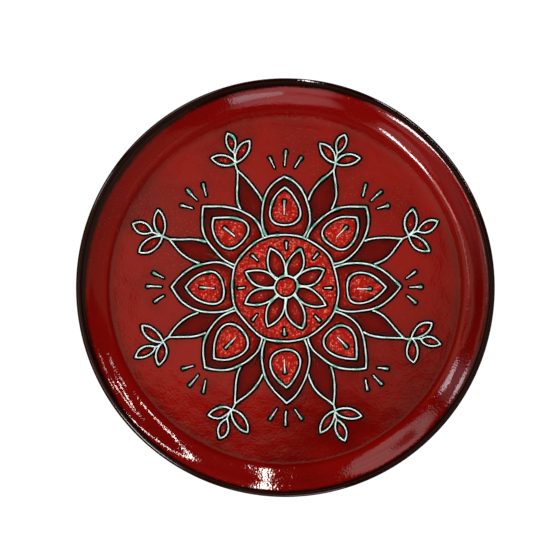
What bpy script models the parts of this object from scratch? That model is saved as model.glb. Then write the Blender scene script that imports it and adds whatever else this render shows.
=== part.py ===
"""A round glazed serving plate with a low curved wall, a rolled rim and raised trailed ornament.

The plate is one fired piece: a turned body on a low foot ring, with lines of slip trailed
on its floor and fused to it. It lies flat, its foot on z = 0 and its axis on +Z.
"""
import math

import bpy
import bmesh
from mathutils import Vector

# The turned body, in metres and radians
PLATE_RADIUS = 0.150
FOOT_HEIGHT = 0.004
BASE_THICKNESS = 0.006
COVE_RADIUS = 0.0132
COVE_TILT = math.radians(28)
WALL_RADIUS = 0.0358  # the wall goes on rising less sharply from here
WALL_TILT = math.radians(43)
TURN_RADIUS = 0.0249  # above its steepest the wall leans back again
SHOULDER_RADIUS = 0.0062
LIP_RADIUS = 0.0025
OUTER_TILT = math.radians(41)
HEEL_RADIUS = 0.030
FOOT_RADIUS = 0.095  # at the middle of the foot ring's width
FOOT_WIDTH = 0.0052
FOOT_CHAMFER = 0.0009
FOOT_FLARE = 0.0014
FLOOR_Z = FOOT_HEIGHT + BASE_THICKNESS

# The trailed lines
LINE_WIDTH = 0.0019
LINE_HEIGHT = 0.0009
LINE_DEPTH = 0.0007  # how far a line reaches into the floor
LINE_STEP = 0.0052
LINE_END = 0.6  # size of a loose end, of the full line
HAND_WOBBLE = 0.0007

# The ornament: a flower with a ring at its heart, sepals between its petals and sprigs beyond
PETALS = 8
HALF_SECTOR = math.pi / PETALS
BOSS_RADIUS = 0.0078
RING_RADIUS = 0.0385
FLOWER_TIP = 0.0820
FLOWER_TIP_DRIFT = 0.0012
SEPAL_TIP = 0.0915
LEAVES_AT = 0.0965
SPRIG_END = 0.1035
SPRIG_TIP = 0.1185
SPRIG_SWAY = 0.03
SIDE_LEAF = (0.0185, 0.0078)  # length and width
END_LEAF_WIDTH = 0.0070
LEAF_SWELL = 0.66
LEAF_LEAN = 0.62  # how much a side leaf points outward, for each 1 across

# Half outlines as (radius, spread to one side), the four controls of a cubic curve
INNER_PETAL = ((BOSS_RADIUS, 0.300), (0.0175, 0.460), (0.0255, 0.260), (0.0305, 0.0))
OUTER_PETAL = ((RING_RADIUS, 0.355), (0.0540, 0.425), (0.0730, 0.245), (FLOWER_TIP, 0.0))
HEART = ((0.0460, 0.130), (0.0530, 0.330), (0.0660, 0.150), (0.0720, 0.0))
HEART_FOOT = ((0.0460, -0.130), (0.0445, -0.050), (0.0445, 0.050), (0.0460, 0.130))
SEPAL = ((0.0655, 0.128), (0.0760, 0.125), (0.0840, 0.040), (SEPAL_TIP, 0.0))
HEART_STROKE = (0.0520, 0.0615)
RING_STROKE = (0.0290, 0.0335)
RAY_FOOT = (0.0890, 0.080)  # radius of the middle ray's foot, and angle between rays there
RAY_TIP = (0.0985, 0.118)
RAY_DROP = (0.0015, 0.0040)  # how much nearer the centre the side rays start and end

ROUND_STEPS = 96
COVE_STEPS = 3
WALL_STEPS = 2
SHOULDER_STEPS = 3
LIP_STEPS = 6
HEEL_STEPS = 5
SMOOTH_ANGLE = math.radians(30)
WELD = 1e-6
GLAZE_COLOUR = (0.27, 0.018, 0.012, 1.0)
GLAZE_ROUGHNESS = 0.12


def clear_scene():
    for item in list(bpy.data.objects):
        bpy.data.objects.remove(item, do_unlink=True)


def glaze_material():
    material = bpy.data.materials.new("red_glaze")
    material.use_nodes = True
    shader = material.node_tree.nodes["Principled BSDF"]
    shader.inputs["Base Color"].default_value = GLAZE_COLOUR
    shader.inputs["Roughness"].default_value = GLAZE_ROUGHNESS
    shader.inputs["Metallic"].default_value = 0.0
    return material


# The turned body

def arc(centre, radius, start, end, steps):
    """Points of an arc in the (r, z) plane, both ends included."""
    angles = [start + (end - start) * step / steps for step in range(steps + 1)]
    return [(centre[0] + radius * math.cos(a), centre[1] + radius * math.sin(a)) for a in angles]


def inner_wall():
    """The soft S of the wall, from the floor's edge to the crest of the rim."""
    bends = (
        (COVE_RADIUS, 0.0, COVE_TILT, COVE_STEPS),
        (WALL_RADIUS, COVE_TILT, WALL_TILT, WALL_STEPS),
        (-TURN_RADIUS, WALL_TILT, COVE_TILT, WALL_STEPS),
        (-SHOULDER_RADIUS, COVE_TILT, 0.0, SHOULDER_STEPS),
    )
    points = [(0.0, FLOOR_Z)]
    for radius, start, end, steps in bends:
        base = points[-1]
        for step in range(1, steps + 1):
            tilt = start + (end - start) * step / steps
            out = radius * (math.sin(tilt) - math.sin(start))
            rise = radius * (math.cos(start) - math.cos(tilt))
            points.append((base[0] + out, base[1] + rise))
    floor_radius = PLATE_RADIUS - LIP_RADIUS - points[-1][0]
    return [(floor_radius + out, height) for out, height in points]


def outer_wall(rim_height):
    """From the rim over the lip, down the straight outside and round the heel to the underside."""
    down = -math.pi / 2
    lip_centre = (PLATE_RADIUS - LIP_RADIUS, rim_height - LIP_RADIUS)
    lip = arc(lip_centre, LIP_RADIUS, -down, down + OUTER_TILT, LIP_STEPS)
    lip_end = lip[-1]
    corner = lip_end[0] - (lip_end[1] - FOOT_HEIGHT) / math.tan(OUTER_TILT)
    heel_centre = (corner - HEEL_RADIUS * math.tan(OUTER_TILT / 2), FOOT_HEIGHT + HEEL_RADIUS)
    return lip[1:] + arc(heel_centre, HEEL_RADIUS, down + OUTER_TILT, down, HEEL_STEPS)


def foot_ring():
    """The foot ring's section, from its outside to its inside."""
    half = FOOT_WIDTH / 2
    outside = [
        (half + FOOT_FLARE, FOOT_HEIGHT),
        (half + FOOT_CHAMFER / 2, FOOT_CHAMFER),
        (half - FOOT_CHAMFER / 2, 0.0),
    ]
    inside = [(-offset, height) for offset, height in reversed(outside)]
    return [(FOOT_RADIUS + offset, height) for offset, height in outside + inside]


def turned_body():
    """The plate without its ornament: one closed turned shape, flat inside and underneath."""
    inside = inner_wall()
    profile = inside + outer_wall(inside[-1][1]) + foot_ring()
    mesh = bmesh.new()
    points = [mesh.verts.new((radius, 0.0, height)) for radius, height in profile]
    edges = [mesh.edges.new(pair) for pair in zip(points, points[1:])]
    bmesh.ops.spin(
        mesh, geom=points + edges, cent=(0, 0, 0), axis=(0, 0, 1),
        angle=2 * math.pi, steps=ROUND_STEPS, use_merge=True,
    )
    rims = [edge for edge in mesh.edges if edge.is_boundary]
    bmesh.ops.holes_fill(mesh, edges=rims, sides=ROUND_STEPS)
    bmesh.ops.recalc_face_normals(mesh, faces=mesh.faces)
    data = bpy.data.meshes.new("plate")
    mesh.to_mesh(data)
    mesh.free()
    plate = bpy.data.objects.new("plate", data)
    bpy.context.scene.collection.objects.link(plate)
    return plate


# The drawing of the ornament, on the plane of the floor

def polar(radius, angle):
    return Vector((radius * math.cos(angle), radius * math.sin(angle), 0.0))


def by_hand(point):
    """Moves a point of the drawing a little, smoothly over the floor, as an unsteady hand would."""
    x = point.x
    y = point.y
    shift_x = math.sin(95 * x + 61 * y + 0.7) + 0.6 * math.sin(-148 * x + 173 * y + 2.1)
    shift_y = math.sin(-70 * x + 104 * y + 1.9) + 0.6 * math.sin(181 * x + 127 * y + 0.4)
    return Vector((x + HAND_WOBBLE * shift_x, y + HAND_WOBBLE * shift_y, 0.0))


def bezier(controls):
    """Points along a cubic curve, as many as its length asks for."""
    a, b, c, d = controls
    hull = (b - a).length + (c - b).length + (d - c).length
    count = max(2, round((hull + (d - a).length) / 2 / LINE_STEP))
    points = []
    for step in range(count + 1):
        t = step / count
        s = 1 - t
        points.append(a * s**3 + b * (3 * s * s * t) + c * (3 * s * t * t) + d * t**3)
    return points


def outline(angle, side, controls):
    """One side of a petal that lies along angle."""
    return bezier([polar(radius, angle + side * spread) for radius, spread in controls])


def both_sides(angle, controls):
    return [outline(angle, side, controls) for side in (-1, 1)]


def circle(radius):
    count = round(2 * math.pi * radius / LINE_STEP)
    return [polar(radius, 2 * math.pi * step / count) for step in range(count)]


def leaf(root, direction, length, width):
    """The two sides of an almond leaf that starts at root and points along direction."""
    along = direction.normalized()
    across = Vector((-along.y, along.x, 0.0))
    sides = []
    for side in (-1, 1):
        swell = across * (side * width * LEAF_SWELL)
        low = root + along * (length * 0.3) + swell
        high = root + along * (length * 0.75) + swell
        sides.append(bezier((root, low, high, root + along * length)))
    return sides


def flower_petal(angle, index):
    """A large petal, the heart inside it and the stroke inside that."""
    tip = FLOWER_TIP + FLOWER_TIP_DRIFT * math.sin(2.4 * index)
    paths = both_sides(angle, OUTER_PETAL[:3] + ((tip, 0.0),))
    paths += both_sides(angle, HEART)
    paths.append(outline(angle, 1, HEART_FOOT))
    paths.append([polar(radius, angle) for radius in HEART_STROKE])
    return paths


def sprig(angle, index):
    """A stem that grows from a sepal's tip, with a pair of leaves and one at its end."""
    sway = SPRIG_SWAY * math.sin(1.9 * index + 0.6)
    middle = (SEPAL_TIP + SPRIG_END) / 2
    stem = ((SEPAL_TIP, 0.0), (middle, 0.0), (middle, sway), (SPRIG_END, sway))
    paths = [outline(angle, 1, stem)]
    outward = polar(1.0, angle)
    across = polar(1.0, angle + math.pi / 2)
    root = polar(LEAVES_AT, angle + sway / 2)
    for side in (-1, 1):
        paths += leaf(root, outward * LEAF_LEAN + across * side, *SIDE_LEAF)
    end = polar(SPRIG_END, angle + sway)
    paths += leaf(end, outward + across * (3 * sway), SPRIG_TIP - SPRIG_END, END_LEAF_WIDTH)
    return paths


def rays(angle):
    """Short loose strokes that fan out over a petal's tip."""
    strokes = []
    for side in (-1, 0, 1):
        foot = polar(RAY_FOOT[0] - RAY_DROP[0] * abs(side), angle + side * RAY_FOOT[1])
        tip = polar(RAY_TIP[0] - RAY_DROP[1] * abs(side), angle + side * RAY_TIP[1])
        strokes.append([foot, tip])
    return strokes


def line_paths():
    """Every trailed line of the ornament as (points, closed)."""
    paths = []
    for index in range(PETALS):
        petal = 2 * HALF_SECTOR * index
        gap = petal + HALF_SECTOR
        paths += both_sides(gap, INNER_PETAL)
        paths.append([polar(radius, petal) for radius in RING_STROKE])
        paths += flower_petal(petal, index)
        paths += both_sides(gap, SEPAL)
        paths += sprig(gap, index)
        paths += rays(petal)
    rings = [circle(BOSS_RADIUS), circle(RING_RADIUS)]
    return [(points, False) for points in paths] + [(points, True) for points in rings]


# The relief

def line_section():
    """The three-cornered section of a trailed line, its origin on the floor's level."""
    half_width = LINE_WIDTH / 2 * (LINE_HEIGHT + LINE_DEPTH) / LINE_HEIGHT
    corners = [(-half_width, -LINE_DEPTH), (half_width, -LINE_DEPTH), (0.0, LINE_HEIGHT)]
    data = bpy.data.curves.new("line_section", "CURVE")
    data.dimensions = "2D"
    spline = data.splines.new("POLY")
    spline.points.add(len(corners) - 1)
    for point, (x, y) in zip(spline.points, corners):
        point.co = (x, y, 0.0, 1.0)
    spline.use_cyclic_u = True
    section = bpy.data.objects.new("line_section", data)
    section.hide_render = True
    section.display_type = "WIRE"
    bpy.context.scene.collection.objects.link(section)
    return section


def trailed_line(name, points, closed, section, collection):
    """A raised line along the points, smaller at its loose ends."""
    data = bpy.data.curves.new(name, "CURVE")
    data.dimensions = "3D"
    data.twist_mode = "Z_UP"
    data.bevel_mode = "OBJECT"
    data.bevel_object = section
    data.use_fill_caps = True
    spline = data.splines.new("POLY")
    spline.points.add(len(points) - 1)
    for point, place in zip(spline.points, points):
        drawn = by_hand(place)
        point.co = (drawn.x, drawn.y, FLOOR_Z, 1.0)
    spline.use_cyclic_u = closed
    if not closed:
        spline.points[0].radius = LINE_END
        spline.points[-1].radius = LINE_END
    curve = bpy.data.objects.new(name, data)
    collection.objects.link(curve)
    return curve


def make_solid(curve, collection):
    """Replaces a curve object by a mesh of the same shape, closed and facing out."""
    depsgraph = bpy.context.evaluated_depsgraph_get()
    data = bpy.data.meshes.new_from_object(curve.evaluated_get(depsgraph))
    name = curve.name
    bpy.data.objects.remove(curve, do_unlink=True)
    mesh = bmesh.new()
    mesh.from_mesh(data)
    bmesh.ops.remove_doubles(mesh, verts=mesh.verts, dist=WELD)
    bmesh.ops.recalc_face_normals(mesh, faces=mesh.faces)
    mesh.to_mesh(data)
    mesh.free()
    collection.objects.link(bpy.data.objects.new(name, data))


def fuse_ornament(plate):
    """Joins every trailed line to the plate by one union, then removes the loose lines."""
    collection = bpy.data.collections.new("ornament")
    bpy.context.scene.collection.children.link(collection)
    section = line_section()
    curves = [
        trailed_line(f"line_{index:03d}", points, closed, section, collection)
        for index, (points, closed) in enumerate(line_paths())
    ]
    for curve in curves:
        make_solid(curve, collection)
    bpy.data.objects.remove(section, do_unlink=True)
    union = plate.modifiers.new("ornament", "BOOLEAN")
    union.operation = "UNION"
    union.operand_type = "COLLECTION"
    union.collection = collection
    union.solver = "EXACT"
    depsgraph = bpy.context.evaluated_depsgraph_get()
    fused = bpy.data.meshes.new_from_object(plate.evaluated_get(depsgraph))
    plate.modifiers.clear()
    plate.data = fused
    for item in list(collection.objects):
        bpy.data.objects.remove(item, do_unlink=True)
    bpy.data.collections.remove(collection)


def main():
    clear_scene()
    plate = turned_body()
    fuse_ornament(plate)
    plate.data.materials.clear()
    plate.data.materials.append(glaze_material())
    plate.data.shade_smooth()
    plate.data.set_sharp_from_angle(angle=SMOOTH_ANGLE)


main()
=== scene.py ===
"""The looks of a red glazed serving plate with raised trailed ornament, on a pale studio floor.

Laid out as an add-on: each operator makes one piece of the plate, or the stage round it.
"""

from collections import namedtuple
from math import atan2, cos, dist, exp, hypot, pi, radians, sin, sqrt, tan

import bmesh
import bpy
from bpy.props import FloatProperty, FloatVectorProperty, IntProperty, PointerProperty
from mathutils import Matrix, Quaternion, Vector, noise
from mathutils.kdtree import KDTree


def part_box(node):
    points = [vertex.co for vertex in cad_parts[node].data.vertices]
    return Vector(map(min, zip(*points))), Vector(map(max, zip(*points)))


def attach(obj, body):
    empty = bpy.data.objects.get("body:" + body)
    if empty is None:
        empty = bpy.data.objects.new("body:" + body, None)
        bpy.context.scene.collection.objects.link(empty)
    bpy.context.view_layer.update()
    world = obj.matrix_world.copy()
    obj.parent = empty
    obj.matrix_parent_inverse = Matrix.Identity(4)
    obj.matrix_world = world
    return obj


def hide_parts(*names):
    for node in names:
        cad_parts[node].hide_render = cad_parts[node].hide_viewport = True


bl_info = {
    "name": "Trailed Plate",
    "version": (1, 0, 0),
    "blender": (4, 5, 0),
    "location": "View3D > Sidebar > Plate",
    "description": "Builds a red glazed serving plate with raised trailed ornament, and its stage",
    "category": "Add Mesh",
}

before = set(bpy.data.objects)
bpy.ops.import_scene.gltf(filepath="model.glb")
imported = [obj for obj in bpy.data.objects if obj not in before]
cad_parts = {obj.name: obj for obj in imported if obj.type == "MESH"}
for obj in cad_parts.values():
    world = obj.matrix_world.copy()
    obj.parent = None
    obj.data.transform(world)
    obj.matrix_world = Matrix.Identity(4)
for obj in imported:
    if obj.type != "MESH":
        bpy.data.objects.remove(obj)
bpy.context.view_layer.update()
PLATE_LOW, PLATE_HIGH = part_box("plate")
RIM_RADIUS = (PLATE_HIGH.x - PLATE_LOW.x) / 2
RIM_HEIGHT = PLATE_HIGH.z
MM = 0.001

# Half outlines as (radius, spread to one side), the four controls of a cubic curve
INNER_PETAL = ((0.0078, 0.300), (0.0175, 0.460), (0.0255, 0.260), (0.0305, 0.0))
OUTER_PETAL = ((0.0385, 0.355), (0.0540, 0.425), (0.0730, 0.245), (0.0820, 0.0))
HEART = ((0.0460, 0.130), (0.0530, 0.330), (0.0660, 0.150), (0.0720, 0.0))
HEART_FOOT = ((0.0460, -0.130), (0.0445, -0.050), (0.0445, 0.050), (0.0460, 0.130))
SEPAL = ((0.0655, 0.128), (0.0760, 0.125), (0.0840, 0.040), (0.0915, 0.0))
PETAL_STROKES = ((0.0290, 0.0335), (0.0520, 0.0615))  # inner and outer end of each
RAY_FOOT = (0.0890, 0.080)  # radius of the middle ray's foot, and angle between rays there
RAY_TIP = (0.0985, 0.118)
RAY_DROP = (0.0015, 0.0040)  # how much nearer the centre the side rays start and end
FLOWER_TIP_DRIFT = 0.0012
LEAVES_AT = 0.0965
SPRIG_END = 0.1035
SPRIG_TIP = 0.1185
SPRIG_SWAY = 0.03
SIDE_LEAF = (0.0185, 0.0078)  # length and width
END_LEAF_WIDTH = 0.0070
LEAF_SWELL = 0.66
LEAF_LEAN = 0.62  # how much a side leaf points outward, for each 1 across
POINT_STEP = 0.9 * MM  # from point to point of a drawn line
STROKE_STEP = 0.8 * MM
FIELD_DEPTH = 0.25 * MM  # how far a field's edge reaches below the floor
FIELD_LIFT = 0.03 * MM

# One side of the foot ring as (distance out from half its width, height)
FOOT_FLARE = 1.4 * MM
GLAZED_FOOT = ((0.7 * MM, 1.8 * MM), (0.35 * MM, 0.9 * MM))
BARE_FOOT = ((0.2 * MM, 1.6 * MM), (0.2 * MM, 0.9 * MM), (0.0, 0.4 * MM), (-0.5 * MM, 0.0))

# How far inside the rim's crest the dark lip reaches
LIP_REACH = 2.3 * MM
LIP_WAVES = ((1, 1.3 * MM, 140), (2, 0.8 * MM, 290))  # waves round the plate, size, phase
LIP_UNEVENNESS = 0.5 * MM

# The floor rises early on one side and late across from it: height, start past its edge
EARLY_SIDE = radians(75)
EARLY_LIFT = (0.45 * MM, -6 * MM)
LATE_LIFT = (-0.14 * MM, 0.0)
LIFT_FULL = 4 * MM
LIFT_GONE = 22 * MM

# Sides of the plate: direction in degrees, and narrowness. The wall on the shaded side faces away from the
# key light. The wall on the lit side faces towards it.
SHADED_SIDE = (-135, 1)
RIGHT_SIDE = (0, 5)
LIT_SIDE = (65, 5)

# How dark the red glaze is made, as a share of its full depth. The ring's change round the plate and the
# darker wall are painted shade. The glaze also lies deep where it sank, and is darker by the lines.
RING_AT = 0.5 * MM  # middle of the dark ring, past the floor's edge
RING_PARTS = ((0.6, 4.5 * MM), (0.4, 18 * MM))  # darkness and width
RING_DARKNESS = 0.56
# painted shade: the ring darker on the shaded and right sides, lighter on the lit side
RING_SHADE_BY_SIDE = ((0.44, SHADED_SIDE), (0.15, RIGHT_SIDE), (-0.30, LIT_SIDE))
# painted shade: the wall darker except on the lit side, and darker still higher up on the right
WALL_SHADE = 0.45
WALL_SHADE_ON_RIGHT = 0.52
SUNK_DEPTH = 0.70  # on the side of the floor that it ran to
DOWNHILL = (0.25, -0.97)
# darker red near the trailed lines
DARKENING_BY_LINES = 0.5
GLAZE_IOR = 1.55


def length(description, default):
    return FloatProperty(description=description, default=default, unit="LENGTH", precision=4)


def tilt(description, default):
    return FloatProperty(description=description, default=radians(default), subtype="ANGLE")


def colour(description, default):
    return FloatVectorProperty(
        description=description, default=default, size=3, subtype="COLOR", min=0.0, max=1.0)


class PlateSizes(bpy.types.PropertyGroup):
    foot_height: length("From the table to the underside", 0.004)
    base_thickness: length("From the underside to the floor", 0.006)
    cove_radius: length("Hollow round from floor to wall", 0.0132)
    cove_tilt: tilt("Steepness at the end of the cove", 28)
    wall_radius: length("Hollow round of the lower wall", 0.0358)
    wall_tilt: tilt("Steepness in the middle of the wall", 43)
    turn_radius: length("Round where the wall leans back", 0.0249)
    shoulder_radius: length("Round from the wall to the crest of the rim", 0.0062)
    lip_radius: length("Round of the rim's outer edge", 0.0025)
    outer_tilt: tilt("Steepness of the wall outside", 41)
    heel_radius: length("Round from the outside to the underside", 0.030)
    foot_radius: length("At the middle of the foot ring's width", 0.095)
    foot_width: length("Width of the foot ring", 0.0052)
    waviness: length("Unevenness left by the throwing", 0.00016)


class OrnamentSizes(bpy.types.PropertyGroup):
    petals: IntProperty(description="Petals round the flower", default=8, min=3, max=16)
    boss_radius: length("Ring at the very centre", 0.0078)
    ring_radius: length("Ring that the outer petals stand on", 0.0385)
    line_width: length("Width of a trailed line", 0.00101)
    line_height: length("How far a trailed line stands up", 0.00085)
    edge_width: length("Width of the dark glaze under a line", 0.0040)
    edge_height: length("How far the dark glaze stands up", 0.00022)
    unsteadiness: length("How far a line wavers on the way", 0.00022)
    hand_wobble: length("How far the drawing strays", 0.0007)


class GlazeColours(bpy.types.PropertyGroup):
    ground: colour("Red glaze of the open floor", (0.252, 0.0024, 0.0013))
    # this colour is also the dark of the painted shade on the wall and in the ring
    pooled: colour("Red glaze where it lies thick", (0.108, 0.0009, 0.0004))
    bright: colour("Speckled glaze inside the drawing", (0.375, 0.0034, 0.0014))
    pocket: colour("Glaze in the narrow places of the drawing", (0.040, 0.0008, 0.0005))
    # this colour makes real flecks in the speckled glaze, and painted glints on the red ground
    speck: colour("Flecks in the speckled glaze", (0.900, 0.1700, 0.1100))
    lip: colour("Where the glaze breaks to brown-black", (0.0098, 0.0010, 0.0004))
    edge: colour("Dark glaze beside the lines", (0.0019, 0.0012, 0.0010))
    slip_thin: colour("Trailed line where it is thin", (0.83, 0.98, 0.94))
    slip_thick: colour("Trailed line where it lies thick", (0.20, 0.47, 0.34))
    clay: colour("Bare clay under the foot", (0.42, 0.27, 0.18))


class StageSettings(bpy.types.PropertyGroup):
    camera_distance: length("From the plate's rim", 2.0)
    view_width: length("Width of the picture at the rim", 0.4005)
    view_x: length("Centre of the picture right of the axis", -0.00386)
    view_y: length("Centre of the picture above the axis", 0.00545)
    floor_radius: length("Radius of the pale floor", 4.0)
    ceiling_height: length("Height of the dim card overhead", 10.0)
    light_distance: length("From the plate to each soft light", 2.5)
    card_distance: length("From the plate to each soft card", 2.5)


# Helpers for meshes

def polar(radius, angle):
    return Vector((radius * cos(angle), radius * sin(angle), 0.0))


def smooth(value, low, high):
    """0 below low, 1 above high and an even S between."""
    t = min(1.0, max(0.0, (value - low) / (high - low)))
    return t * t * (3 - 2 * t)


def arc(centre, radius, start, end, steps):
    """Points of an arc in the (r, z) plane, both ends included."""
    angles = [start + (end - start) * step / steps for step in range(steps + 1)]
    return [(centre[0] + radius * cos(a), centre[1] + radius * sin(a)) for a in angles]


def straight(start, end, steps):
    """Points from start to end without either of them."""
    shares = [step / steps for step in range(1, steps)]
    return [(start[0] + (end[0] - start[0]) * s, start[1] + (end[1] - start[1]) * s) for s in shares]


def turned(mesh, profile, steps, closed=False):
    """Spins a profile of vertices round the plate's axis; a closed one ends where it starts."""
    edges = [mesh.edges.new(pair) for pair in zip(profile, profile[1:] + profile[:closed])]
    bmesh.ops.spin(
        mesh, geom=profile + edges, cent=(0, 0, 0), axis=(0, 0, 1),
        angle=2 * pi, steps=steps, use_merge=True,
    )
    bmesh.ops.remove_doubles(mesh, verts=mesh.verts, dist=1e-6)
    bmesh.ops.recalc_face_normals(mesh, faces=mesh.faces)


def mesh_data(mesh, name):
    data = bpy.data.meshes.new(name)
    mesh.to_mesh(data)
    mesh.free()
    return data


def joined(layer, parts):
    """One mesh of many parts given as mesh data, which keeps the named layer."""
    whole = bmesh.new()
    whole.verts.layers.float.new(layer)
    for data in parts:
        whole.from_mesh(data)
        bpy.data.meshes.remove(data)
    return whole


def smooth_object(mesh, name, material):
    data = mesh_data(mesh, name)
    data.shade_smooth()
    data.materials.append(material)
    piece = bpy.data.objects.new(name, data)
    bpy.context.scene.collection.objects.link(piece)
    return piece


def finish_piece(mesh, name, material, replaces=None):
    """Makes the mesh a piece of the plate, on the plate's body."""
    piece = smooth_object(mesh, name, material)
    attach(piece, "root")
    if replaces:
        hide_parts(replaces)


# The drawing of the ornament, on the plane of the floor

def bezier(controls):
    """Even points along a cubic curve."""
    a, b, c, d = controls
    hull = (b - a).length + (c - b).length + (d - c).length
    count = max(4, round((hull + (d - a).length) / 2 / POINT_STEP))
    points = []
    for index in range(count + 1):
        t = index / count
        s = 1 - t
        points.append(a * s**3 + b * (3 * s * s * t) + c * (3 * s * t * t) + d * t**3)
    return points


def outline(angle, side, controls):
    """One side of a petal that lies along angle."""
    return bezier([polar(radius, angle + side * spread) for radius, spread in controls])


def both_sides(angle, controls):
    return [outline(angle, side, controls) for side in (-1, 1)]


def circle(radius):
    count = round(2 * pi * radius / POINT_STEP)
    return [polar(radius, 2 * pi * index / count) for index in range(count)]


def stroke(start, end):
    count = max(3, round((end - start).length / STROKE_STEP))
    return [start.lerp(end, index / count) for index in range(count + 1)]


def leaf(root, direction, reach, width):
    """The two sides of an almond leaf that starts at root and points along direction."""
    along = direction.normalized()
    across = Vector((-along.y, along.x, 0.0))
    sides = []
    for side in (-1, 1):
        swell = across * (side * width * LEAF_SWELL)
        low = root + along * (reach * 0.3) + swell
        high = root + along * (reach * 0.75) + swell
        sides.append(bezier((root, low, high, root + along * reach)))
    return sides


def petal_outline(angle, index):
    tip = OUTER_PETAL[3][0] + FLOWER_TIP_DRIFT * sin(2.4 * index)
    return both_sides(angle, OUTER_PETAL[:3] + ((tip, 0.0),))


def heart_outline(angle):
    return both_sides(angle, HEART) + [outline(angle, 1, HEART_FOOT)]


def sprig_leaves(angle, index):
    """The leaves of a sprig as pairs of sides."""
    sway = SPRIG_SWAY * sin(1.9 * index + 0.6)
    outward = polar(1.0, angle)
    across = polar(1.0, angle + pi / 2)
    root = polar(LEAVES_AT, angle + sway / 2)
    leaves = [leaf(root, outward * LEAF_LEAN + across * side, *SIDE_LEAF) for side in (-1, 1)]
    end = polar(SPRIG_END, angle + sway)
    leaves.append(leaf(end, outward + across * (3 * sway), SPRIG_TIP - SPRIG_END, END_LEAF_WIDTH))
    return leaves


def sprig_stem(angle, index):
    sway = SPRIG_SWAY * sin(1.9 * index + 0.6)
    middle = (SEPAL[3][0] + SPRIG_END) / 2
    stem = ((SEPAL[3][0], 0.0), (middle, 0.0), (middle, sway), (SPRIG_END, sway))
    return outline(angle, 1, stem)


def rays(angle):
    """Short loose strokes that fan out over a petal's tip."""
    strokes = []
    for side in (-1, 0, 1):
        foot = polar(RAY_FOOT[0] - RAY_DROP[0] * abs(side), angle + side * RAY_FOOT[1])
        tip = polar(RAY_TIP[0] - RAY_DROP[1] * abs(side), angle + side * RAY_TIP[1])
        strokes.append(stroke(foot, tip))
    return strokes


def drawing(sizes):
    """Every trailed line as (points, kind), where kind is open, closed or stroke."""
    half = pi / sizes.petals
    lines = []
    strokes = []
    for index in range(sizes.petals):
        petal = 2 * half * index
        gap = petal + half
        lines += both_sides(gap, INNER_PETAL)
        lines += petal_outline(petal, index) + heart_outline(petal)
        strokes += [stroke(*[polar(radius, petal) for radius in ends]) for ends in PETAL_STROKES]
        lines += both_sides(gap, SEPAL)
        lines.append(sprig_stem(gap, index))
        for sides in sprig_leaves(gap, index):
            lines += sides
        strokes += rays(petal)
    rings = [circle(sizes.boss_radius), circle(sizes.ring_radius)]
    kinds = {"open": lines, "stroke": strokes, "closed": rings}
    return [(points, kind) for kind, group in kinds.items() for points in group]


def by_hand(point, wobble):
    """Moves a point of the drawing a little, as an unsteady hand would."""
    x = point.x
    y = point.y
    shift_x = sin(95 * x + 61 * y + 0.7) + 0.6 * sin(-148 * x + 173 * y + 2.1)
    shift_y = sin(-70 * x + 104 * y + 1.9) + 0.6 * sin(181 * x + 127 * y + 0.4)
    return Vector((x + wobble * shift_x, y + wobble * shift_y, 0.0))


def wander(place, scale, seed):
    """Smooth noise at a place, between about -1 and 1."""
    return noise.noise(place * scale + Vector((0, 0, seed)))


def floor_wave(place):
    return wander(place.to_2d().to_3d(), 21, 3.1)


def floor_level(plate, place):
    """Height of the plate's floor, a little uneven."""
    return plate.foot_height + plate.base_thickness + plate.waviness * floor_wave(place)


# Lines swept over the floor

LineLook = namedtuple("LineLook", "width height sides squareness sunk follow ragged drift")
ROUND_OFF = ((0.50, 0.87), (0.80, 0.60), (0.96, 0.28))  # distance past a loose end, and scale there


def extruded(mesh, edges):
    """Extrudes edges and gives the new vertices and the new edges."""
    parts = bmesh.ops.extrude_edge_only(mesh, edges=edges)["geom"]
    corners = [part for part in parts if isinstance(part, bmesh.types.BMVert)]
    return corners, [part for part in parts if isinstance(part, bmesh.types.BMEdge)]


def section_ring(mesh, sides, squareness, sunk):
    """A closed section of unit half-width: round or squarer above, shallow below the floor."""
    ring = bmesh.ops.create_circle(mesh, cap_ends=False, segments=sides, radius=1)["verts"]
    for corner in ring:
        if corner.co.y > 0:
            corner.co.y = corner.co.y ** squareness
        else:
            corner.co.y *= sunk
    return ring


def line_stations(points, kind, half_width):
    """Stations along a line as (place, direction, scale), rounded off at loose ends."""
    count = len(points)
    closed = kind == "closed"
    stations = []
    for index, point in enumerate(points):
        before = points[(index - 1) % count] if closed or index else point
        after = points[(index + 1) % count] if closed or index < count - 1 else point
        stations.append((point, (after - before).normalized(), 1.0))
    if closed:
        return stations
    place, direction, _ = stations[0]
    start = [(place - direction * half_width * out, direction, scale) for out, scale in reversed(ROUND_OFF)]
    place, direction, _ = stations[-1]
    end = [(place + direction * half_width * out, direction, scale) for out, scale in ROUND_OFF]
    return start + stations + end


def line_swell(share, place, kind, seed):
    """How thick the slip lies at a place on a line, 1 on the whole."""
    swell = 1 + 0.20 * wander(place, 95, seed)
    swell += 0.14 * wander(place, 420, seed + 5)
    swell += 0.55 * smooth(wander(place, 170, 9), 0.26, 0.50)
    if kind == "stroke":
        return swell * (0.66 + 0.95 * smooth(share, 0.35, 0.85))
    if kind == "open":
        swell += 0.40 * exp(-((share * 12) ** 2)) + 0.34 * exp(-(((1 - share) * 12) ** 2))
    return swell


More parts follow.
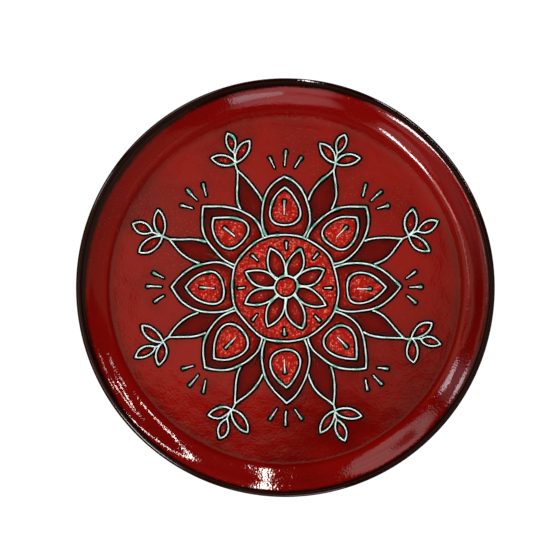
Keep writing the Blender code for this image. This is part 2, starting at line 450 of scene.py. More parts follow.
def sweep(points, kind, seed, look, plate, ornament):
    """One line of the drawing as a mesh."""
    mesh = bmesh.new()
    thickness = mesh.verts.layers.float.new("thickness")
    half_width = look.width / 2
    drawn = [by_hand(point, ornament.hand_wobble) for point in points]
    stations = line_stations(drawn, kind, half_width)
    ring = section_ring(mesh, look.sides, look.squareness, look.sunk)
    edges = list({edge for corner in ring for edge in corner.link_edges})
    first_edges = edges
    placed = Matrix.Identity(4)
    for index, (place, direction, scale) in enumerate(stations):
        if index:
            ring, edges = extruded(mesh, edges)
        swell = line_swell(index / len(stations), place, kind, seed)
        growth = 1 + (swell - 1) * look.follow
        width = half_width * scale * growth
        width *= 1 + look.ragged * wander(place, 260, seed + 2)
        across = Vector((-direction.y, direction.x, 0.0))
        waver = ornament.unsteadiness * wander(place, 130, seed + 7)
        drift = look.drift * wander(place, 150, seed + 11)
        seat = place + across * (waver + drift)
        height = look.height * (0.4 + 0.6 * scale) * growth
        level = floor_level(plate, seat)
        target = Matrix((
            (across.x * width, 0.0, direction.x, seat.x),
            (across.y * width, 0.0, direction.y, seat.y),
            (0.0, height, 0.0, level),
            (0.0, 0.0, 0.0, 1.0),
        ))
        bmesh.ops.transform(mesh, matrix=target @ placed.inverted(), verts=ring)
        placed = target
        for corner in ring:
            corner[thickness] = swell * (0.75 + 0.25 * scale)
    if kind == "closed":
        bmesh.ops.bridge_loops(mesh, edges=first_edges + edges)
    else:
        ends = [edge for edge in mesh.edges if edge.is_boundary]
        bmesh.ops.holes_fill(mesh, edges=ends, sides=look.sides)
    bmesh.ops.recalc_face_normals(mesh, faces=mesh.faces)
    return mesh_data(mesh, "line")


def swept_drawing(scene, look):
    """All lines of the drawing in one mesh."""
    return joined("thickness", (
        sweep(points, kind, seed * 3.7, look, scene.plate_sizes, scene.ornament_sizes)
        for seed, (points, kind) in enumerate(drawing(scene.ornament_sizes))
    ))


# Materials; a helper that is given a socket adds its nodes to the socket's own tree

def new_material(name):
    """A material and its shader node."""
    material = bpy.data.materials.new(name)
    material.use_nodes = True
    return material, material.node_tree.nodes["Principled BSDF"]


def fill_in(node, inputs):
    """Fills in a node's inputs, each with a value or from another node's socket."""
    for key, value in inputs.items():
        if isinstance(value, bpy.types.NodeSocket):
            node.id_data.links.new(value, node.inputs[key])
        else:
            node.inputs[key].default_value = value


def add_node(tree, kind, inputs=None, **settings):
    node = tree.nodes.new("ShaderNode" + kind)
    for key, value in settings.items():
        setattr(node, key, value)
    fill_in(node, inputs or {})
    return node


def place_on_object(node):
    return add_node(node.id_data, "TexCoord").outputs["Object"]


def attribute(node, name, kind="Fac"):
    return add_node(node.id_data, "Attribute", attribute_name=name).outputs[kind]


def noise_value(place, scale, detail=2.0, roughness=0.5):
    node = add_node(place.id_data, "TexNoise", {
        "Vector": place, "Scale": scale, "Detail": detail, "Roughness": roughness})
    return node.outputs["Fac"]


def vector_math(place, operation, second=(0.0, 0.0, 0.0)):
    node = add_node(place.id_data, "VectorMath", {0: place, 1: second}, operation=operation)
    return node.outputs["Value" if operation in ("LENGTH", "DOT_PRODUCT") else "Vector"]


def along(place, direction):
    """How far a place lies along a direction over the plate."""
    return vector_math(place, "DOT_PRODUCT", (*direction, 0.0))


def calculate(operation, first, second, clamp=False):
    tree = next(part.id_data for part in (first, second) if isinstance(part, bpy.types.NodeSocket))
    node = add_node(tree, "Math", {0: first, 1: second}, operation=operation, use_clamp=clamp)
    return node.outputs[0]


def plus(first, second, clamp=False):
    return calculate("ADD", first, second, clamp)


def times(*factors):
    product = factors[0]
    for factor in factors[1:]:
        product = calculate("MULTIPLY", product, factor)
    return product


def ramp(value, low, high, start=0.0, end=1.0):
    """Maps low..high to start..end with soft ends."""
    node = add_node(value.id_data, "MapRange", {
        "Value": value, "From Min": low, "From Max": high, "To Min": start, "To Max": end,
    }, interpolation_type="SMOOTHSTEP")
    return node.outputs["Result"]


def blend(share, *colours):
    """Mixes two colours, each a colour of three parts or a socket."""
    first, second = [part if isinstance(part, bpy.types.NodeSocket) else (*part, 1.0) for part in colours]
    node = add_node(share.id_data, "Mix", {0: share, 6: first, 7: second}, data_type="RGBA")
    return node.outputs[2]


def bumped(height, distance):
    return add_node(height.id_data, "Bump", {
        "Height": height, "Distance": distance, "Strength": 1.0}).outputs["Normal"]


def specks(place, scale, size, share):
    """Scattered round dots of uneven strength; size is their radius against their spacing."""
    dots = add_node(place.id_data, "TexVoronoi", {"Vector": place, "Scale": scale})
    chance = add_node(place.id_data, "SeparateColor", {"Color": dots.outputs["Color"]}).outputs[0]
    return times(ramp(chance, 1 - share, 1.0), ramp(dots.outputs["Distance"], size, 0.4 * size))


def throwing_rings(place):
    """Fine rings round the plate's axis, as turning leaves them, which come and go along the way."""
    out = vector_math(vector_math(place, "MULTIPLY", (1.0, 1.0, 0.0)), "LENGTH")
    axes = add_node(place.id_data, "SeparateXYZ", {"Vector": place})
    drawn_out = add_node(place.id_data, "CombineXYZ", {
        "X": times(out, 620.0), "Y": times(axes.outputs["X"], 14.0), "Z": times(axes.outputs["Y"], 14.0)})
    return noise_value(drawn_out.outputs["Vector"], 1.0)


def red_glaze(colours):
    """Glossy red glaze, darker by the lines, with painted shade on the wall and in the ring, and pale
    flecks painted as glints, breaking to brown-black at the lip.
    """
    material, shader = new_material("red_glaze")
    place = place_on_object(shader)
    wall = attribute(shader, "wall")
    mottle = ramp(noise_value(place, 26.0, 3.0), 0.35, 0.75, -0.12, 0.22)
    cloud = noise_value(place, 13.0)
    patches = times(plus(mottle, ramp(cloud, 0.35, 0.65, -0.10, 0.15)), ramp(wall, 0.0, 0.4, 1.0, 0.4))
    # the near layer holds the glaze's depth together with painted shade on the wall and in the ring
    depth = plus(attribute(shader, "near"), patches, clamp=True)
    ground = blend(depth, colours.ground, colours.pooled)
    dots = specks(place, 680.0, 0.46, 0.4)
    # pale flecks in the cloudy parts of the ground are painted glints, fewer towards one side
    fewer_glints = ramp(along(place, (0.80, -0.60)), 0.02, 0.08, 1.0, 0.2)
    pale = times(dots, ramp(cloud, 0.42, 0.66, 0.02, 0.13), fewer_glints)
    grain = noise_value(place, 1150.0, 1.0)
    dull = times(ramp(grain, 0.46, 0.30, 0.0, 0.45), ramp(cloud, 0.47, 0.66))
    ground = blend(dull, blend(pale, ground, colours.speck), colours.pooled)
    edge = ramp(noise_value(place, 210.0), 0.3, 0.7, -0.09, 0.09)
    lip = ramp(plus(attribute(shader, "lip"), edge), 0.0, 1.0)
    uneven = ramp(along(place, (0.64, 0.77)), 0.120, 0.095, 0.25, 1.3)
    ripple = plus(times(noise_value(place, 650.0, 0.0), uneven), times(throwing_rings(place), 1.2))
    dust = times(dots, ramp(cloud, 0.35, 0.66, 0.1, 0.8))
    peel = noise_value(place, 640.0, 1.0)
    swell = times(noise_value(place, 110.0, 0.0), 2.0)
    height = plus(plus(times(plus(ripple, dust), wall), peel), swell)
    fill_in(shader, {
        "Base Color": blend(lip, ground, colours.lip), "Normal": bumped(height, 0.03 * MM),
        "Roughness": 0.05, "IOR": GLAZE_IOR})
    return material


def speckled_glaze(colours):
    """The glaze inside the drawing: bright and flecked where glow is high, else deep red."""
    material, shader = new_material("speckled_glaze")
    place = place_on_object(shader)
    glow = attribute(shader, "glow")
    glow = plus(glow, times(glow, ramp(noise_value(place, 95.0), 0.3, 0.7, -0.25, 0.25)), clamp=True)
    deep = blend(ramp(glow, 0.02, 0.22), colours.pocket, colours.pooled)
    base = blend(ramp(glow, 0.15, 1.0), deep, colours.bright)
    grain = noise_value(place, 1050.0, 1.0)
    dark = times(ramp(grain, 0.48, 0.32, 0.0, 0.60), ramp(glow, 0.1, 0.5))
    flecked = times(specks(place, 700.0, 0.62, 0.85), ramp(glow, 0.25, 0.9))
    base = blend(flecked, blend(dark, base, colours.pooled), colours.speck)
    fill_in(shader, {
        "Base Color": base, "Normal": bumped(grain, 0.05 * MM), "Roughness": 0.3, "IOR": GLAZE_IOR})
    return material


def dark_glaze(colours):
    """Brown-black glaze that runs out beside the trailed lines."""
    material, shader = new_material("dark_glaze")
    place = place_on_object(shader)
    warm = tuple(3 * part for part in colours.edge)
    fill_in(shader, {
        "Base Color": blend(ramp(noise_value(place, 240.0), 0.45, 0.8), colours.edge, warm),
        "Normal": bumped(noise_value(place, 900.0), 0.03 * MM),
        "Roughness": 0.35, "Specular IOR Level": 0.08})
    return material


def trailed_slip(colours):
    """Pale mint slip, greener where it lies thick."""
    material, shader = new_material("trailed_slip")
    place = place_on_object(shader)
    stain = ramp(noise_value(place, 210.0), 0.3, 0.7, -0.16, 0.16)
    share = ramp(plus(attribute(shader, "thickness"), stain), 0.98, 1.42)
    fill_in(shader, {
        "Base Color": blend(share, colours.slip_thin, colours.slip_thick),
        "Normal": bumped(noise_value(place, 900.0), 0.03 * MM), "Roughness": 0.3})
    return material


def bare_clay(colours):
    """Rough unglazed clay of the foot."""
    material, shader = new_material("bare_clay")
    grain = noise_value(place_on_object(shader), 900.0, 4.0, 0.7)
    darker = tuple(0.6 * part for part in colours.clay)
    fill_in(shader, {
        "Base Color": blend(ramp(grain, 0.35, 0.7), darker, colours.clay),
        "Normal": bumped(grain, 0.12 * MM), "Roughness": 0.9})
    return material


# The turned body

def inner_wall(plate, finer):
    """The soft S of the wall, from the floor's edge to the rim's crest."""
    bends = (
        (plate.cove_radius, 0.0, plate.cove_tilt, 3 * finer),
        (plate.wall_radius, plate.cove_tilt, plate.wall_tilt, 2 * finer),
        (-plate.turn_radius, plate.wall_tilt, plate.cove_tilt, 2 * finer),
        (-plate.shoulder_radius, plate.cove_tilt, 0.0, 3 * finer),
    )
    points = [(0.0, plate.foot_height + plate.base_thickness)]
    for radius, start, end, steps in bends:
        base = points[-1]
        for step in range(1, steps + 1):
            slope = start + (end - start) * step / steps
            out = radius * (sin(slope) - sin(start))
            rise = radius * (cos(start) - cos(slope))
            points.append((base[0] + out, base[1] + rise))
    edge = RIM_RADIUS - plate.lip_radius - points[-1][0]
    return [(edge + out, height) for out, height in points]


def glazed_profile(plate):
    """From the centre of the floor over the rim and under to the axis again, and where its crest is."""
    down = -pi / 2
    wall = inner_wall(plate, 4)
    centre = (0.0, wall[0][1])
    inside = [centre] + straight(centre, wall[0], 90) + wall
    lip_centre = (RIM_RADIUS - plate.lip_radius, wall[-1][1] - plate.lip_radius)
    lip = arc(lip_centre, plate.lip_radius, -down, down + plate.outer_tilt, 14)
    corner = lip[-1][0] - (lip[-1][1] - plate.foot_height) / tan(plate.outer_tilt)
    heel_centre = (corner - plate.heel_radius * tan(plate.outer_tilt / 2),
                   plate.foot_height + plate.heel_radius)
    heel = arc(heel_centre, plate.heel_radius, down + plate.outer_tilt, down, 12)
    outside = lip[1:] + straight(lip[-1], heel[0], 8) + heel
    foot = foot_section(plate, ((FOOT_FLARE, plate.foot_height), *GLAZED_FOOT))
    inner_end = (0.0, plate.foot_height)
    under = straight(heel[-1], foot[0], 8) + foot + straight(foot[-1], inner_end, 14) + [inner_end]
    return inside + outside + under, len(inside) - 1


def foot_section(plate, side):
    """Section of the foot ring as (radius, height), down its outer side and up its inner one."""
    outer = [(plate.foot_width / 2 + out, height) for out, height in side]
    inner = [(-offset, height) for offset, height in reversed(outer)]
    return [(plate.foot_radius + offset, height) for offset, height in outer + inner]


def lip_width(angle):
    """How far inside the rim's crest the dark lip reaches, which varies round the plate."""
    wide = LIP_REACH + LIP_UNEVENNESS * wander(polar(1.0, angle), 3, 5.0)
    for waves, size, phase in LIP_WAVES:
        wide += size * cos(waves * angle - radians(phase))
    return wide


def edge_lift(angle, past_edge):
    """How much more the floor's edge rises on one side, and less across from it."""
    lean = cos(angle - EARLY_SIDE)
    height, start = EARLY_LIFT if lean > 0 else LATE_LIFT
    share = smooth(past_edge, start, LIFT_FULL) * (1 - smooth(past_edge, LIFT_FULL, LIFT_GONE))
    return height * sqrt(abs(lean)) * share


def side_share(angle, direction, narrowness):
    """1 on a side of the plate, falling to 0 across from it."""
    return (0.5 + 0.5 * cos(angle - radians(direction))) ** narrowness


def glaze_depth_and_shade(place, angle, past_edge, lines):
    """How dark the glaze is made, from 0 to 1: at the floor's edge, on the wall, where it sank and by the
    lines; the darker wall and the ring's change round the plate are painted shade.
    """
    ring = sum(depth * exp(-(((past_edge - RING_AT) / width) ** 2)) for depth, width in RING_PARTS)
    ring *= RING_DARKNESS + sum(more * side_share(angle, *side) for more, side in RING_SHADE_BY_SIDE)
    wall = WALL_SHADE * (1 - side_share(angle, *LIT_SIDE)) * smooth(past_edge, 0.0, 5 * MM)
    wall += WALL_SHADE_ON_RIGHT * side_share(angle, *RIGHT_SIDE) * smooth(past_edge, 4 * MM, 12 * MM)
    down = DOWNHILL[0] * place.x + DOWNHILL[1] * place.y
    sunk = SUNK_DEPTH * smooth(down, 0.03, 0.12) * (1 - smooth(past_edge, -4 * MM, 2 * MM))
    _, _, distance = lines.find(place.to_2d().to_3d())
    beside = DARKENING_BY_LINES * exp(-((distance / (4 * MM)) ** 1.5))
    return min(1.0, max(ring, wall, sunk) + beside)


def nearest_line(ornament):
    """A search tree over the drawing."""
    points = [by_hand(p, ornament.hand_wobble) for line, _ in drawing(ornament) for p in line[::2]]
    tree = KDTree(len(points))
    for index, point in enumerate(points):
        tree.insert(point, index)
    tree.balance()
    return tree


class PLATE_OT_turn_body(bpy.types.Operator):
    """Turn the glazed body of the plate"""

    bl_idname = "plate.turn_body"
    bl_label = "Turn Body"

    def execute(self, context):
        plate = context.scene.plate_sizes
        ornament = context.scene.ornament_sizes
        mesh = bmesh.new()
        layers = [mesh.verts.layers.float.new(name) for name in ("crest", "lip", "near", "wall")]
        crest = layers[0]
        section, crest_at = glazed_profile(plate)
        steps = [dist(*pair) for pair in zip(section, section[1:])]
        profile = [mesh.verts.new((radius, 0.0, height)) for radius, height in section]
        for index, corner in enumerate(profile):
            corner[crest] = sum(steps[:index]) - sum(steps[:crest_at])
        turned(mesh, profile, 360)
        lines = nearest_line(ornament)
        floor_edge = inner_wall(plate, 1)[0][0]
        for corner in mesh.verts:
            self.shape(corner, layers, plate, floor_edge, lines)
        mesh.normal_update()
        finish_piece(mesh, "plate_body", red_glaze(context.scene.glaze_colours), "plate")
        return {"FINISHED"}

    @staticmethod
    def shape(corner, layers, plate, floor_edge, lines):
        """Gives a point its unevenness, and how much of lip, wall and deep glaze with painted shade it has.
        """
        crest, lip, near, wall = layers
        place = corner.co
        angle = atan2(place.y, place.x)
        from_crest = corner[crest]
        radius = hypot(place.x, place.y)
        wide = lip_width(angle)
        fade = 1.9 * MM + 0.5 * max(0.0, wide)
        corner[lip] = (from_crest + wide + fade) / fade
        if from_crest < -2 * MM:
            if radius < floor_edge:
                place.z = floor_level(plate, place)
            else:
                rise = smooth(radius, floor_edge, floor_edge + 8 * MM)
                fall = smooth(-from_crest, 2 * MM, 8 * MM)
                ripple = noise.noise(Vector((place.x * 48, place.y * 48, place.z * 90)))
                place.z += plate.waviness * fall * (floor_wave(place) + 1.4 * ripple * rise)
            place.z += edge_lift(angle, radius - floor_edge)
            corner[wall] = smooth(radius, floor_edge - 2 * MM, floor_edge + 6 * MM)
            corner[near] = glaze_depth_and_shade(place, angle, radius - floor_edge, lines)


class PLATE_OT_turn_foot(bpy.types.Operator):
    """Turn the bare clay face that the plate stands on"""

    bl_idname = "plate.turn_foot"
    bl_label = "Turn Foot"

    def execute(self, context):
        plate = context.scene.plate_sizes
        mesh = bmesh.new()
        section = foot_section(plate, BARE_FOOT)
        profile = [mesh.verts.new((radius, 0.0, height)) for radius, height in section]
        turned(mesh, profile, 240, closed=True)
        finish_piece(mesh, "bare_foot", bare_clay(context.scene.glaze_colours))
        return {"FINISHED"}


# The glaze inside the drawing

def closed_loop(sides):
    """One loop from a left side and a right side that end at the same tip."""
    left, right = sides[0], sides[1]
    shared = (left[0] - right[0]).length < 1e-6
    return left + right[-2:0:-1] if shared else left + right[-2::-1]


def pocket_loop(gap, index, petals):
    """The spear between two petals and the sepal in the gap."""
    half = pi / petals
    left_petal = petal_outline(gap + half, index + 1)[0]
    right_petal = petal_outline(gap - half, index)[1]
    right_sepal, left_sepal = both_sides(gap, SEPAL)
    foot = SEPAL[0][0]
    left = [point for point in left_petal if point.length < foot] + left_sepal
    right = [point for point in right_petal if point.length < foot] + right_sepal
    return left + right[-2::-1]


def field_patch(loop, centre, rings, lift, dome, glow, plate, ornament):
    """A low cushion of glaze inside a loop of the drawing; glow(place, share) says how bright it is."""
    mesh = bmesh.new()
    bright = mesh.verts.layers.float.new("glow")
    corners = [mesh.verts.new(point) for point in loop]
    edges = [mesh.edges.new(pair) for pair in zip(corners, corners[1:] + corners[:1])]
    bmesh.ops.contextual_create(mesh, geom=edges)
    inward = {corner: -1.0 for corner in corners}
    size = 1.0
    for ring in range(rings):
        corners, edges = extruded(mesh, edges)
        share = ring / rings
        step = (1 - share) / size
        size = 1 - share
        bmesh.ops.scale(mesh, vec=(step, step, 1), verts=corners, space=Matrix.Translation(-centre))
        inward.update((corner, share) for corner in corners)
    bmesh.ops.pointmerge(mesh, merge_co=centre, verts=extruded(mesh, edges)[0])
    for corner in mesh.verts:
        share = inward.get(corner, 1.0)
        corner[bright] = glow(corner.co, max(0.0, share))
        corner.co = by_hand(corner.co, ornament.hand_wobble)
        over = lift + dome * share * (2 - share) if share >= 0 else -FIELD_DEPTH
        corner.co.z = floor_level(plate, corner.co) + over
    bmesh.ops.recalc_face_normals(mesh, faces=mesh.faces)
    return mesh_data(mesh, "field")


def fields(ornament):
    """Every field of bright glaze as (loop, centre, rings, lift, dome, glow)."""
    half = pi / ornament.petals
    ring = ornament.ring_radius
    found = [
        (circle(ring), Vector(), 26, FIELD_LIFT, 0.05 * MM,
         lambda place, share: 0.95 - 0.35 * smooth(place.length, 0.8 * ring, ring)),
        (circle(ornament.boss_radius), Vector(), 6, 3 * FIELD_LIFT, 0.10 * MM, lambda place, share: 0.9),
    ]
    for index in range(ornament.petals):
        petal = 2 * half * index
        gap = petal + half
        found += [
            (closed_loop(both_sides(gap, INNER_PETAL)), polar(0.0195, gap), 7, 3 * FIELD_LIFT, 0.08 * MM,
             lambda place, share: 0.12 + 0.45 * smooth(share, 0.1, 0.9)),
            (closed_loop(petal_outline(petal, index)), polar(0.058, petal), 14, FIELD_LIFT, 0.05 * MM,
             lambda place, share: 0.08 + 0.75 * smooth(share, 0, 0.5) * smooth(place.length, 0.078, 0.045)),
            (closed_loop(both_sides(petal, HEART)), polar(0.057, petal), 9, 3 * FIELD_LIFT, 0.10 * MM,
             lambda place, share: 0.45 + 0.55 * smooth(share, 0.0, 0.6)),
            (pocket_loop(gap, index, ornament.petals), polar(0.066, gap), 6, FIELD_LIFT, 0.04 * MM,
             lambda place, share: 0.04 + 0.22 * smooth(share, 0.0, 0.8)),
        ]
        for sides in sprig_leaves(gap, index):
            middle = (sides[0][0] + sides[0][-1]) / 2
            found.append((closed_loop(sides), middle, 5, FIELD_LIFT, 0.05 * MM,
                          lambda place, share: 0.10 + 0.5 * smooth(share, 0.2, 0.9)))
    return found


class PLATE_OT_lay_fields(bpy.types.Operator):
    """Lay the speckled glaze inside the drawing"""

    bl_idname = "plate.lay_fields"
    bl_label = "Lay Speckled Glaze"

    def execute(self, context):
        plate = context.scene.plate_sizes
        ornament = context.scene.ornament_sizes
        whole = joined("glow", (field_patch(*field, plate, ornament) for field in fields(ornament)))
        glaze = speckled_glaze(context.scene.glaze_colours)
        finish_piece(whole, "speckled_fields", glaze)
        return {"FINISHED"}


class PLATE_OT_run_edges(bpy.types.Operator):
    """Run the dark glaze beside the trailed lines"""

    bl_idname = "plate.run_edges"
    bl_label = "Run Dark Edges"

    def execute(self, context):
        ornament = context.scene.ornament_sizes
        look = LineLook(
            ornament.edge_width, ornament.edge_height, sides=10, squareness=0.45, sunk=1.0,
            follow=0.45, ragged=0.22, drift=0.35 * MM)
        whole = swept_drawing(context.scene, look)
        finish_piece(whole, "dark_edges", dark_glaze(context.scene.glaze_colours))
        return {"FINISHED"}


class PLATE_OT_trail_lines(bpy.types.Operator):
    """Trail the raised slip lines of the drawing"""

    bl_idname = "plate.trail_lines"
    bl_label = "Trail Lines"

    def execute(self, context):
        ornament = context.scene.ornament_sizes
        look = LineLook(
            ornament.line_width, ornament.line_height, sides=12, squareness=1.0, sunk=0.35,
            follow=1.0, ragged=0.16, drift=0.0)
        whole = swept_drawing(context.scene, look)
        finish_piece(whole, "trailed_lines", trailed_slip(context.scene.glaze_colours))
        return {"FINISHED"}


# The stage

SOFT_LIGHTS = (
    # name, azimuth, elevation and width in degrees, radiance, colour
    ("key", 230, 45, 30, 13.6, (1.0, 0.98, 0.98)),
    ("fill", 66, 32, 30, 12.3, (1.0, 0.97, 0.94)),
)
ROUND = 2.0
SQUARISH = 4.0
WHITE = (1.0, 0.98, 0.98)
WARM = (1.0, 0.94, 0.88)
BROWNISH = (1.0, 0.86, 0.62)
RUDDY = (1.0, 0.50, 0.46)
LILAC = (0.97, 0.90, 1.0)
CRISP = (ROUND, 0.70)
SOFT_CARDS = (
    # name, (azimuth, elevation) and (width, height, roll) in degrees, radiance, colour,
    # (roundness, where the fade to the edge begins)
    ("main", (227.0, 43.5), (27, 9.5, -33), 25.0, WHITE, (ROUND, 0.60)),
    ("main_tail", (207, 44), (34, 10, 0), 7.0, RUDDY, (ROUND, 0.30)),
    ("main_tail_end", (194, 43), (46, 10, 0), 3.0, RUDDY, (ROUND, 0.20)),
    ("leaning_foot", (60.5, 13), (27, 2.6, -74), 30.0, WARM, CRISP),
    ("leaning", (52.5, 30), (17, 1.9, -55), 33.0, WARM, CRISP),
    ("leaning_tip", (43, 37.5), (11, 1.9, -24), 34.0, WARM, CRISP),
    ("leaning_low", (34.5, 13.5), (17, 2.1, -28), 32.0, WARM, CRISP),
    ("spot", (29, 27), (3, 3, 0), 26.0, WARM, CRISP),
    ("faint_spot", (22.5, 23), (2, 6, 0), 14.0, WARM, CRISP),
    ("upright", (84, 30), (52, 3.6, -88), 30.0, WARM, CRISP),
    ("left", (184, 46), (58, 48, 0), 0.42, BROWNISH, (SQUARISH, 0.70)),
    ("low_left", (229, 37), (27, 48, 0), 1.0, RUDDY, (SQUARISH, 0.75)),
    ("low_left_haze", (210, 20), (64, 44, 0), 0.50, RUDDY, (ROUND, 0.0)),
    ("front", (270, 26), (36, 31, 0), 1.7, (1.0, 0.50, 0.50), (SQUARISH, 0.50)),
    ("front_bright", (278.5, 11), (16, 37, 0), 2.5, LILAC, (SQUARISH, 0.85)),
    ("right", (334, 36), (60, 70, 0), 0.17, BROWNISH, (SQUARISH, 0.80)),
    ("right_line", (315, 46), (27, 2.4, 0), 0.80, BROWNISH, (SQUARISH, 0.60)),
    ("umbrella", (123.5, 10), (33, 64, 0), 1.30, (1.0, 0.82, 0.78), (ROUND, 0.85)),
    ("small", (151.5, 29), (11.5, 17, 0), 6.8, LILAC, (SQUARISH, 0.55)),
    ("small_haze", (151.5, 16), (18, 36, 0), 0.5, LILAC, (ROUND, 0.50)),
)
DARK_CORE = {"umbrella": (0.30, 0.08, 0.30)}  # place on the card and size, as shares of half its size
CORE_GLOW = 0.15  # against the rest of the card
WIDE = 70  # width and height together from which a card stands behind the others, in degrees
WIDE_AWAY = 1.2  # its distance against theirs
MIRRORED_FLOOR_GLOW = 0.15
CEILING_RADIUS = 0.65  # against its height


def facing_plate(azimuth, elevation, roll, distance):
    """Place and turn of something that faces the plate; the angles are in degrees."""
    high = radians(elevation)
    place = polar(distance * cos(high), radians(azimuth))
    place.z = distance * sin(high)
    return place, place.to_track_quat("Z", "Y") @ Quaternion((0, 0, 1), radians(roll))


def half_size(distance, degrees):
    return distance * tan(radians(degrees) / 2)


def soft_light(name, azimuth, elevation, width, radiance, tint, distance, scene):
    """A round light that faces the plate; the glaze mirrors the soft cards and not this."""
    data = bpy.data.lights.new(name, "AREA")
    data.shape = "DISK"
    data.size = 2 * half_size(distance, width)
    data.energy = pi * (pi / 4 * data.size**2) * radiance
    data.color = tint
    lamp = bpy.data.objects.new(name, data)
    lamp.location, turn = facing_plate(azimuth, elevation, 0, distance)
    lamp.rotation_euler = turn.to_euler()
    lamp.visible_glossy = False
    scene.collection.objects.link(lamp)


def stage_piece(mesh, name, material):
    piece = smooth_object(mesh, name, material)
    return piece


def glow_material(name):
    """A material that does nothing but glow, and its emission node."""
    material, shader = new_material(name)
    tree = shader.id_data
    tree.nodes.clear()
    emission = add_node(tree, "Emission")
    add_node(tree, "OutputMaterial", {0: emission.outputs[0]})
    return material, emission


def soft_cards(distance):
    """Glowing cards for the glaze to mirror, fading to their edges, the wide behind the others."""
    mesh = bmesh.new()
    glow = mesh.verts.layers.float_color.new("glow")
    for name, heading, (width, height, roll), radiance, tint, (roundness, fade_from) in SOFT_CARDS:
        card = bmesh.ops.create_grid(mesh, x_segments=24, y_segments=24, size=1)["verts"]
        away = distance * (WIDE_AWAY if width + height > WIDE else 1.0)
        core = DARK_CORE.get(name)
        place, turn = facing_plate(*heading, roll, away)
        for corner in card:
            x, y, _ = corner.co
            from_middle = (abs(x) ** roundness + abs(y) ** roundness) ** (1 / roundness)
            share = 1 - smooth(from_middle, fade_from, 1.0)
            if core:
                from_core = hypot(x - core[0], y - core[1])
                share *= CORE_GLOW + (1 - CORE_GLOW) * smooth(from_core, 0.6 * core[2], core[2])
            corner[glow] = [radiance * share * part for part in tint] + [1.0]
            flat = Vector((x * half_size(away, width), y * half_size(away, height), 0.0))
            corner.co = place + turn @ flat
    material, emission = glow_material("soft_cards")
    flat_bands = vector_math(place_on_object(emission), "MULTIPLY", (0.8, 0.8, 3.0))
    bands = ramp(noise_value(flat_bands, 1.0, 4.0), 0.35, 0.65, 0.85, 1.15)
    fill_in(emission, {"Color": attribute(emission, "glow", "Color"), "Strength": bands})
    cards = stage_piece(mesh, "soft_cards", material)
    cards.visible_camera = False
    cards.visible_diffuse = False
    cards.visible_shadow = False


def disk(radius, segments=96):
    mesh = bmesh.new()
    bmesh.ops.create_circle(mesh, cap_ends=True, segments=segments, radius=radius)
    return mesh


def studio_floor(radius):
    """A wide pale floor."""
    floor = stage_piece(disk(radius), "studio_floor", pale_floor())
    floor.visible_glossy = False


def mirrored_floor(radius):
    """What the glaze mirrors in place of the floor, as a table near a plate lies in its shade."""
    material, emission = glow_material("mirrored_floor")
    fill_in(emission, {"Strength": MIRRORED_FLOOR_GLOW})
    floor = stage_piece(disk(radius), "mirrored_floor", material)
    floor.visible_camera = False
    floor.visible_diffuse = False


def pale_floor():
    """White near the plate, duller far away."""
    material, shader = new_material("pale_floor")
    far = vector_math(place_on_object(shader), "LENGTH")
    fill_in(shader, {
        "Emission Strength": ramp(far, 0.5, 1.6, 1.04, 0.25), "Emission Color": (1.0, 1.0, 1.0, 1.0),
        "Base Color": (0.4, 0.4, 0.4, 1.0), "Roughness": 0.9, "Specular IOR Level": 0.1})
    return material


def ceiling_card(height):
    """A dim card high above, paler to the left, with a fainter halo, that the glaze mirrors softly."""
    mesh = disk(CEILING_RADIUS * height, 48)
    bmesh.ops.reverse_faces(mesh, faces=mesh.faces)
    bmesh.ops.translate(mesh, vec=(0, 0, height), verts=mesh.verts)
    material, emission = glow_material("ceiling_card")
    scaled = vector_math(place_on_object(emission), "MULTIPLY", (1 / height, 1 / height, 0.0))
    out = vector_math(scaled, "LENGTH")
    side = ramp(along(scaled, (-0.8, -0.6)), -0.08, 0.08, 0.25, 0.46)
    low = ramp(along(scaled, (-0.10, -1.0)), 0.051, 0.061, 1.0, 0.03)
    from_boom = calculate("ABSOLUTE", calculate("SUBTRACT", along(scaled, (0.891, 0.454)), 0.0025), 0)
    beyond = ramp(along(scaled, (0.454, -0.891)), 0.026, 0.034)
    boom = times(ramp(from_boom, 0.0115, 0.0160, 0.85, 0.0), beyond)
    shade = times(low, calculate("SUBTRACT", 1.0, boom))
    cloud = ramp(noise_value(scaled, 11.0, 1.0), 0.3, 0.7, 0.85, 1.1)
    card = times(side, shade, cloud, ramp(out, 0.079, 0.089, 1.0, 0.0))
    halo = ramp(along(scaled, (-0.26, -0.97)), -0.12, 0.12, 0.0, 0.07)
    halo = times(halo, ramp(out, 0.08, 0.16), ramp(out, 0.64, 0.35))
    fill_in(emission, {"Strength": plus(card, halo), "Color": (1.0, 1.0, 0.74, 1.0)})
    stage_piece(mesh, "ceiling_card", material)


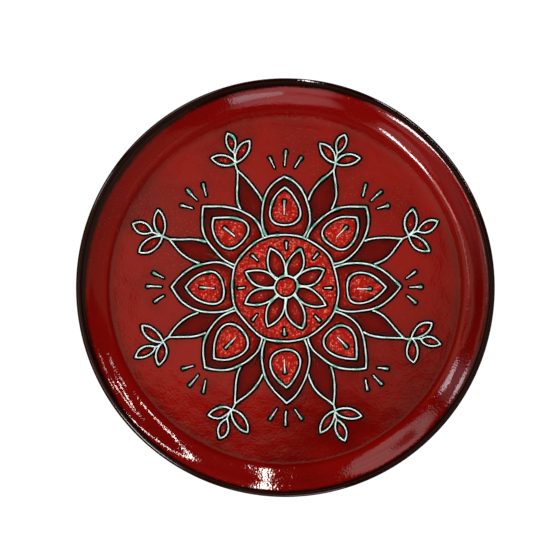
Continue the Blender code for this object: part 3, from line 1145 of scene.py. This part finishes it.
class PLATE_OT_set_stage(bpy.types.Operator):
    """Set the floor, the soft lights, the dim surroundings and the camera"""

    bl_idname = "plate.set_stage"
    bl_label = "Set Stage"

    def execute(self, context):
        scene = context.scene
        stage = scene.stage_settings
        studio_floor(stage.floor_radius)
        mirrored_floor(stage.floor_radius)
        ceiling_card(stage.ceiling_height)
        for light in SOFT_LIGHTS:
            soft_light(*light, stage.light_distance, scene)
        soft_cards(stage.card_distance)
        world = bpy.data.worlds.new("dim_studio")
        world.use_nodes = True
        fill_in(world.node_tree.nodes["Background"], {"Color": (0.9, 0.95, 1.0, 1.0), "Strength": 0.015})
        scene.world = world
        scene.view_settings.view_transform = "Standard"
        data = bpy.data.cameras.new("camera")
        data.sensor_width = 36.0
        data.lens = data.sensor_width * stage.camera_distance / stage.view_width
        camera = bpy.data.objects.new("camera", data)
        camera.location = (stage.view_x, stage.view_y, RIM_HEIGHT + stage.camera_distance)
        scene.collection.objects.link(camera)
        scene.camera = camera
        return {"FINISHED"}


class PLATE_PT_panel(bpy.types.Panel):
    """Sizes, colours and steps of the plate"""

    bl_idname = "PLATE_PT_panel"
    bl_label = "Trailed Plate"
    bl_space_type = "VIEW_3D"
    bl_region_type = "UI"
    bl_category = "Plate"

    def draw(self, context):
        for title, group in GROUPS.items():
            box = self.layout.box()
            box.label(text=title.replace("_", " ").capitalize())
            settings = getattr(context.scene, title)
            for name in group.__annotations__:
                box.prop(settings, name, text=name.replace("_", " ").capitalize())
        for step in STEPS:
            self.layout.operator(step.bl_idname)


GROUPS = {
    "plate_sizes": PlateSizes,
    "ornament_sizes": OrnamentSizes,
    "glaze_colours": GlazeColours,
    "stage_settings": StageSettings,
}
STEPS = (
    PLATE_OT_turn_body,
    PLATE_OT_turn_foot,
    PLATE_OT_lay_fields,
    PLATE_OT_run_edges,
    PLATE_OT_trail_lines,
    PLATE_OT_set_stage,
)
CLASSES = (*GROUPS.values(), *STEPS, PLATE_PT_panel)


def register():
    for part in CLASSES:
        bpy.utils.register_class(part)
    for name, group in GROUPS.items():
        setattr(bpy.types.Scene, name, PointerProperty(type=group))


def unregister():
    for name in GROUPS:
        delattr(bpy.types.Scene, name)
    for part in reversed(CLASSES):
        bpy.utils.unregister_class(part)


def main():
    register()
    bpy.ops.plate.turn_body()
    bpy.ops.plate.turn_foot()
    bpy.ops.plate.lay_fields()
    bpy.ops.plate.run_edges()
    bpy.ops.plate.trail_lines()
    bpy.ops.plate.set_stage()


if __name__ == "__main__":
    main()
